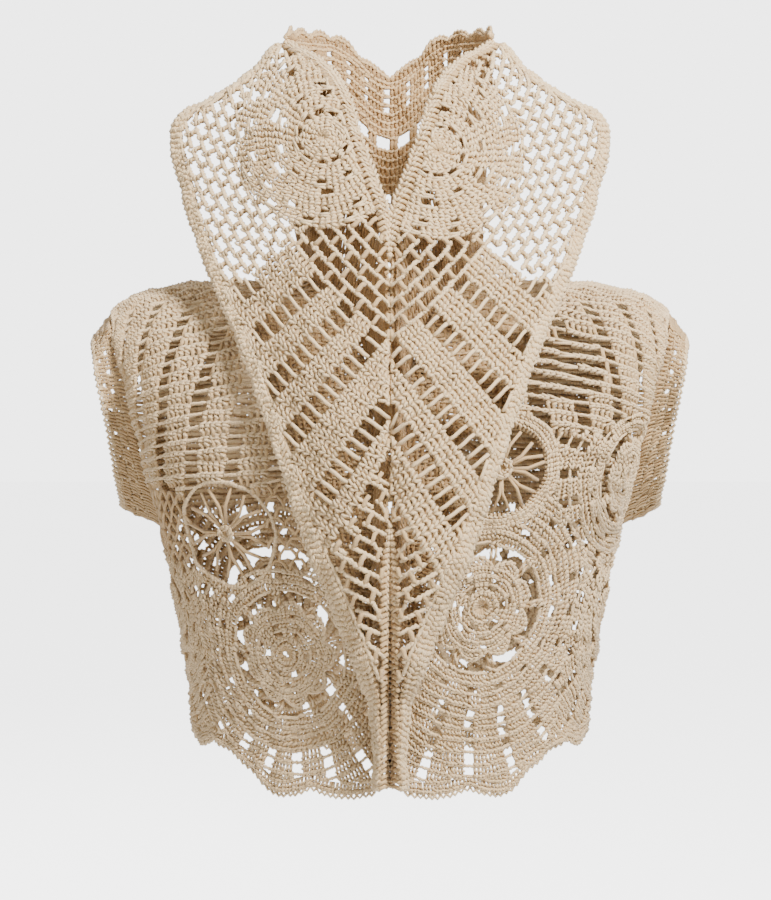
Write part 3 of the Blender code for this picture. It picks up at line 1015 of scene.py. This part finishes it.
def lapel_limits(s):
    """The shares across the lapel between which its pattern lies, inside the two bands."""
    edge = mix(EDGE_BAND, LOW_EDGE_BAND, eased(s, *EDGE_WIDENS))
    roll = mix(ROLL_BAND, -ROLL_OVERLAP, eased(s, *ROLL_LAPS))
    roll = mix(roll, LOW_ROLL_BAND, eased(s, *ROLL_PARTS))
    width = lapel_width(s)
    return np.minimum(roll / width, 0.5), 1 - np.clip(edge / width, 0, 0.5)


def fit_lapel(cells):
    low, high = lapel_limits(cells[..., 0])
    return np.stack([np.clip(cells[..., 0], 0, LAPEL_END), np.clip(cells[..., 1], low, high)], -1)


# The pattern lies in courses on arcs round a centre beyond the wearer's other shoulder. Places in
# it are metres from that centre, and degrees round it down from the horizontal.
COURSE_CENTRE = np.array([-0.240, 0.268])
COURSE_PITCH, CHEVRONS_REACH, NETS_REACH = 0.0095, (0.20, 0.62), (0.20, 0.66)
CHEVRONS = {  # the middle of each row of windows, in degrees, and where it starts and ends
    "left": ((37.6, 0.430, 0.450), (42.3, 0.385, 0.470), (47.2, 0.388, 0.490), (52.25, 0.388, 0.520),
             (56.5, 0.430, 0.530)),
    "right": ((37.8, 0.425, 0.445), (42.05, 0.385, 0.460), (46.35, 0.392, 0.485), (50.55, 0.392, 0.520),
              (55.65, 0.430, 0.510)),
}
CHEVRON_STITCH, CHEVRON_WINDOW = 0.56, 1.96  # degrees
ARC_START, ARC_END = 22.0, 78.0
CHEVRONS_START, CHEVRONS_FROM = 37, 0.386  # the angle and the reach where their part starts
CHEVRONS_END = {"right": 58.5, "left": 60.5}


def on_arc(angles, reach):
    way = np.radians(angles)
    return COURSE_CENTRE + np.stack([np.cos(way), -np.sin(way)], -1) * reach


def chevron_cells(side_name):
    """Cells of one lapel's rows of windows, seen from the front, with their letters."""
    radii = np.arange(*CHEVRONS_REACH, COURSE_PITCH)
    cells, letters = [], ""
    for low, high in zip(radii[:-1], radii[1:]):
        edges, row = [ARC_START], ""
        for middle, start, end in CHEVRONS[side_name]:
            window = (middle - CHEVRON_WINDOW / 2, middle + CHEVRON_WINDOW / 2)
            open_here = start <= (low + high) / 2 <= end
            for reach, is_open in ((window[0], False), (window[1], open_here)):
                count = 1 if is_open else round((reach - edges[-1]) / CHEVRON_STITCH)
                edges += list(np.linspace(edges[-1], reach, count + 1)[1:])
                row += "-" if is_open else "x" * count
        tail = np.arange(edges[-1], ARC_END, CHEVRON_STITCH)[1:]
        edges += list(tail)
        cells.append(strip(on_arc(edges, low), on_arc(edges, high)))
        letters += row + "x" * len(tail)
    return np.concatenate(cells), np.array(list(letters))


# Courses of windows beside the motif, under it and below the chevrons.
LAPEL_NETS = (
    {"letters": "xw", "from": 9.9, "to": 37.0, "period": 1.75, "pitch": 0.0083},
    {"letters": "tw", "from": 37.0, "to": 58.5, "period": 2.36, "pitch": 0.0100},
    {"letters": "tw", "from": 58.5, "to": 84.0, "period": 2.15, "pitch": 0.0098},
)
LAPEL_MOTIFS = {"right": ((0.050, 0.113), 0.066), "left": ((0.036, 0.102), 0.064)}


def make_lapel(side_name, side):
    """The yarn of one lapel: its round motif, its chevrons and nets, and the bands at both edges."""
    yarn = new_yarn()
    centre, radius = LAPEL_MOTIFS[side_name]

    def add(cells, letters, least=0.3):
        fitted, kept = trimmed(lapel_flat(cells), fit_lapel, least)
        letters = np.where(letters == "x", "f", letters)
        work(yarn, lapel, fitted[kept], letters[kept], side)

    def zones(middle):
        """Which places lie outside the motif, and which among the chevrons."""
        away, down = (middle - COURSE_CENTRE).T
        angle = np.degrees(np.arctan2(-down, away))
        chevron = (angle > CHEVRONS_START) & (angle < CHEVRONS_END[side_name])
        chevron &= np.hypot(away, down) > CHEVRONS_FROM
        return distance(middle, centre) > radius * MOTIF_HOLD, chevron

    add(*motif_cells("rosette", centre, radius))
    cells, letters = chevron_cells(side_name)
    outside, chevron = zones(cells.mean(1))
    keep = outside & chevron
    add(cells[keep], letters[keep])
    for net in LAPEL_NETS:
        letters = net["letters"] * round((net["to"] - net["from"]) / net["period"])
        angles = net["from"] + pattern_edges(letters) * (net["to"] - net["from"])
        letters = np.array(list(letters))
        for number, low in enumerate(np.arange(*NETS_REACH, net["pitch"])):
            turned = angles + net["period"] / 2 * (number % 2)
            cells = strip(on_arc(turned, low), on_arc(turned, low + net["pitch"]))
            outside, chevron = zones(cells.mean(1))
            keep = outside & ~chevron
            add(cells[keep], letters[keep], least=0.25)

    for row in EDGE_ROWS:
        along = even_steps(edge_line, row["width"])
        low, high = lapel_limits(along)
        cells = course(along, mix(high, 1, row["from"]), mix(high, 1, row["to"]))
        work(yarn, lapel, wandering(cells, reach=0.002), np.full(len(cells), row["letter"]), side)
    along = even_steps(roll_line, LAPEL_STITCH)
    low, high = lapel_limits(along)
    cells = course(along, low, -ROLL_OVERLAP / lapel_width(along))
    cells = cells[low[:-1] > SLIGHTEST_ROLL]
    work(yarn, lapel, cells, np.full(len(cells), "f"), side)
    return yarn


collar_cotton = cotton_pair("collar_cotton", (0.81, 0.62, 0.365), (0.65, 0.455, 0.245))
for side_name, side in SIDES.items():
    yarn = make_lapel(side_name, side)
    cloth_pieces(f"lapel_{side_name}", yarn, collar_cotton, "collar_cotton", (0.165, 0.600), 0.0563)

# Front bands. The inner layer of the collar, in plain close courses of cotton coloured darker and
# browner as painted shade. Each is sewn up its front's edge, and turns over into the lapel at the roll.

BAND_SEAT, BAND_COURSE, BAND_STITCH, BAND_LAP = 0.0024, 0.0095, 0.0042, 0.002
BAND_START, FOLD_STEP = 0.004, 0.01  # shares of the way down
SLIGHTEST_COURSE = 0.4  # of a course's height; a slighter one isn't worked
SEAM_PLACES = (89, 81, 72, 62, 50, 38, 25, 10, -0.195, -0.262, -0.320, -0.376)


def seam_place(place):
    """A point clear of a front's inner edge: degrees up the arch, or a height below the underarm."""
    if place >= 0:
        lift = radians(place)
        height = float(np.interp(lift, lifts, rise))
        x = float(neck_edge_x(lift))
        middle = BUST_FRONT * cos(lift) ** ARCH
        bow = (1 - min(x / float(cap_edge(lift)), 1) ** ROUND) ** (1 / ROUND)
        depth = SHOULDER_TRIM + mix(float(armhole_depth(lift)), middle, bow)
        z = float(arch_height(np.array(x), np.array(lift)))
        return (x, SIDE_SEAM_Y - depth - BAND_SEAT * cos(lift), z + BAND_SEAT * sin(lift))
    x, y, z = body(across_of(FRONT_EDGE, place - UNDERARM_Z), np.array(place - UNDERARM_Z))
    return (x, y - BAND_SEAT, z)


seam_line = [seam_place(place) for place in SEAM_PLACES]


def unit(vectors):
    return vectors / np.maximum(np.linalg.norm(vectors, axis=-1, keepdims=True), 1e-9)


def band(s, t):
    """Places on a front band: s is the share of the way down it, and t from the seam to the roll."""
    share = mix(BAND_START, 1, s)
    seam, roll = through(seam_line, share), through(lapel_roll, share)
    fold = unit(roll - through(lapel_roll, share - FOLD_STEP))
    away = seam - roll
    away = unit(away - (away * fold).sum(-1, keepdims=True) * fold)
    return mix(seam, roll + BAND_SEAT * away, t[..., None])


# Painted shade: the collar's inner layers are coloured darker and browner than the lapels, for the
# shade inside the collar.
shaded_inner_cotton = cotton_pair("shaded_inner_cotton", (0.72, 0.50, 0.26), (0.57, 0.375, 0.185))
samples = np.linspace(0, 1, 600)
along = even_steps(band(samples, np.full_like(samples, 0.5)), BAND_STITCH)
across_band = band(along, np.ones_like(along)) - band(along, np.zeros_like(along))
band_width = np.linalg.norm(across_band, axis=-1)
for side_name, side in SIDES.items():
    yarn = new_yarn()
    for row in range(int(band_width.max() / BAND_COURSE) + 1):
        low = row * BAND_COURSE / band_width
        high = np.minimum((row + 1) * BAND_COURSE / band_width, 1 + BAND_LAP / band_width)
        cells = course(along, np.minimum(low, high), high)
        cells = cells[((high - low) * band_width)[:-1] > SLIGHTEST_COURSE * BAND_COURSE]
        work(yarn, band, cells, np.full(len(cells), "l"), side)
    cloth_pieces(f"front_band_{side_name}", yarn, shaded_inner_cotton, "collar_cotton", (0.062, 0.590), 0.0287)

# Collar stand. The back of the collar, in the same cotton with painted shade, worked up from the neck
# seam: plain courses, fine ones with a round of large windows among them, columns of small windows,
# and a lobed top with picots.

STAND_HALF_WIDTH, STAND_DEPTH = 0.0795, 0.080
STAND_NOTCH_Z, STAND_LOBE_RISE, LOBE_REACH = 0.163, 0.030, 0.050
STAND_TOP_Y = -0.0677
STAND_TURN, STAND_LAP = 1.016, 0.0055  # half turns round the neck; its ends lap the front bands
STAND_LAPS = (0.47, 0.03)  # from which share of the way round from the nape, and over how much
STAND_SEAT = 0.0016


def stand(s, t):
    """Places on the stand: s is the share of the way round the nape, and t of the way up."""
    around = pi * (s - 0.5) * STAND_TURN
    low_x = NECK_HALF_WIDTH * np.sin(around)
    neck = NECK_BACK / BUST_BACK * np.cos(around)
    lift = np.arccos(power(neck, 1 / ARCH))
    bow = (1 - np.clip(np.abs(low_x) / cap_edge(lift), 0, 1) ** ROUND) ** (1 / ROUND)
    depth = SHOULDER_TRIM + mix(armhole_depth(lift), BUST_BACK * np.cos(lift) ** ARCH, bow)
    low_y = SIDE_SEAM_Y + depth - STAND_LAP * eased(np.abs(s - 0.5), *STAND_LAPS)
    low = np.stack([low_x, low_y, arch_height(low_x, lift) + STAND_SEAT], -1)
    high_x = STAND_HALF_WIDTH * np.sin(around)
    top = STAND_NOTCH_Z + STAND_LOBE_RISE * smooth(np.abs(high_x) / LOBE_REACH)
    high = np.stack([high_x, STAND_TOP_Y + STAND_DEPTH * np.cos(around), top], -1)
    return mix(low, high, t[..., None])


ROW_DIP, ROW_DIP_REACH = 0.06, 0.20
TOP_LOBES, TOP_LOBE_RISE = 10, 0.040
TOP_STITCH, TOP_COURSE = 0.0040, 0.012
TOP_ROWS = (  # the last course and its picots, from and to shares of a small lobe's rise
    {"letter": "k", "from": -0.25, "to": 0.9},
    {"letter": "p", "from": 0.9, "to": 1.3},
)
STAND_ROWS = (  # high is the share of the way up where the course ends
    [{"high": 0.0625 * (row + 1), "letters": "llllllllll.", "stitch": 0.0032} for row in range(8)]
    + [{"high": 0.54 + 0.04 * row, "letters": "k", "stitch": 0.0037} for row in range(5)]
    + [{"high": 0.758, "letters": "kk_", "stitch": 0.0031}]
    + [{"high": high, "letters": "k", "stitch": 0.0037} for high in (0.792, 0.826, 0.86)]
    + [{"high": high, "letters": "kkkk.", "stitch": 0.0036} for high in (0.897, 0.934, 0.971)]
    + [{"high": 0.99, "letters": "k", "stitch": 0.0037}]
)


def row_place(s, t):
    """Courses of the stand dip at the middle of the nape, and not at the neck seam or the top."""
    return t - ROW_DIP * np.sin(pi * np.clip(t, 0, 1)) * (1 - smooth(np.abs(s - 0.5) / ROW_DIP_REACH))


def stand_row(high, letters, stitch):
    """Where the cells of one course of the stand begin and end round it, and their letters."""
    run = run_along(*stand(samples, np.full_like(samples, high)).T)
    repeats = 2 * round(run[-1] / (pattern_width(letters) * stitch) / 2)
    even = np.interp(pattern_edges(letters * repeats), run / run[-1], samples)
    return even, np.array(list(letters * repeats))


yarn = new_yarn()
low = 0.0
for row in STAND_ROWS:
    even, letters = stand_row(row["high"], row["letters"], row["stitch"])
    work(yarn, stand, course(even, row_place(even, low), row_place(even, row["high"])), letters)
    low = row["high"]
for row in TOP_ROWS:
    even, letters = stand_row(1, row["letter"], TOP_STITCH)
    lobes = TOP_LOBE_RISE * np.sqrt(np.abs(np.sin(pi * TOP_LOBES * even)))
    bottom = 1 + lobes * row["from"]
    top = np.maximum(1 + lobes * row["to"], bottom + TOP_COURSE)
    work(yarn, stand, course(even, bottom, top), letters)
cloth_pieces("collar_stand", yarn, shaded_inner_cotton, "collar_cotton", (0.250, 0.190), 0.0407)

# Floor, light and camera. The floor and the backdrop are pale, and bright only to the camera. Three
# soft lights stand round the garment, and a long lens looks slightly down on it from the front.

FLOOR_Z, FLOOR_SIZE, FLOOR_GLOW = -0.75, 8, 3.6
DAYLIGHT, BACKDROP = 0.13, 4.0  # what lights the cloth, and what the camera sees behind it
SOFTBOXES = (
    {"name": "key", "place": (0.85, -1.15, 1.2), "aim": (0, -0.05, 0), "size": 0.45, "watts": 114},
    {"name": "back", "place": (-0.9, 1.8, 1.0), "aim": (0, 0, -0.1), "size": 1.0, "watts": 40},
    {"name": "fill", "place": (-1.6, -1.5, 1.3), "aim": (0, -0.05, 0), "size": 1.0, "watts": 34},
)
FRAME_WIDTH, FRAME_HEIGHT = 771, 900
AIM_COLUMN, AIM_ROW = 390, 411.6  # the pixel that the aim falls on
SENSOR_HEIGHT, FOCAL_LENGTH = 36, 131.6
CAMERA_DISTANCE, CAMERA_ELEVATION = 2.6, radians(3)

floor_mesh = bpy.data.meshes.new("floor")
shape = bmesh.new()
bmesh.ops.create_grid(shape, x_segments=1, y_segments=1, size=FLOOR_SIZE)
bmesh.ops.translate(shape, verts=shape.verts, vec=(0, 0, FLOOR_Z))
shape.to_mesh(floor_mesh)
shape.free()
floor = added("floor", floor_mesh)
paint = bpy.data.materials.new("pale_floor")
paint.use_nodes = True
nodes, links = paint.node_tree.nodes, paint.node_tree.links
nodes["Principled BSDF"].inputs["Base Color"].default_value = (0.9, 0.9, 0.9, 1)
nodes["Principled BSDF"].inputs["Emission Color"].default_value = (1, 1, 1, 1)
ray = nodes.new("ShaderNodeLightPath")
glow = nodes.new("ShaderNodeMath")
glow.operation = "MULTIPLY"
glow.inputs[1].default_value = FLOOR_GLOW
links.new(ray.outputs["Is Camera Ray"], glow.inputs[0])
links.new(glow.outputs["Value"], nodes["Principled BSDF"].inputs["Emission Strength"])
floor.data.materials.append(paint)

world = bpy.data.worlds.new("studio")
bpy.context.scene.world = world
world.use_nodes = True
nodes, links = world.node_tree.nodes, world.node_tree.links
ray = nodes.new("ShaderNodeLightPath")
seen = nodes.new("ShaderNodeMix")
seen.inputs["A"].default_value = DAYLIGHT
seen.inputs["B"].default_value = BACKDROP
links.new(ray.outputs["Is Camera Ray"], seen.inputs["Factor"])
links.new(seen.outputs["Result"], nodes["Background"].inputs["Strength"])
nodes["Background"].inputs["Color"].default_value = (1, 1, 1, 1)

for box in SOFTBOXES:
    lamp = bpy.data.lights.new(box["name"], "AREA")
    lamp.shape = "SQUARE"
    lamp.size = box["size"]
    lamp.energy = box["watts"]
    holder = added(box["name"], lamp)
    holder.location = box["place"]
    beam = Vector(box["aim"]) - Vector(box["place"])
    holder.rotation_euler = beam.to_track_quat("-Z", "Y").to_euler()

lens = bpy.data.cameras.new("camera")
lens.sensor_fit = "VERTICAL"
lens.sensor_height = SENSOR_HEIGHT
lens.sensor_width = SENSOR_HEIGHT * FRAME_WIDTH / FRAME_HEIGHT
lens.lens = FOCAL_LENGTH
lens.shift_x = (FRAME_WIDTH / 2 - AIM_COLUMN) / FRAME_HEIGHT
lens.shift_y = (AIM_ROW - FRAME_HEIGHT / 2) / FRAME_HEIGHT
camera = added("camera", lens)
camera_aim = Vector((0, -0.055, -0.10))
toward = Vector((0, -cos(CAMERA_ELEVATION), sin(CAMERA_ELEVATION)))
camera.location = camera_aim + CAMERA_DISTANCE * toward
camera.rotation_euler = (camera_aim - camera.location).to_track_quat("-Z", "Y").to_euler()
bpy.context.scene.camera = camera
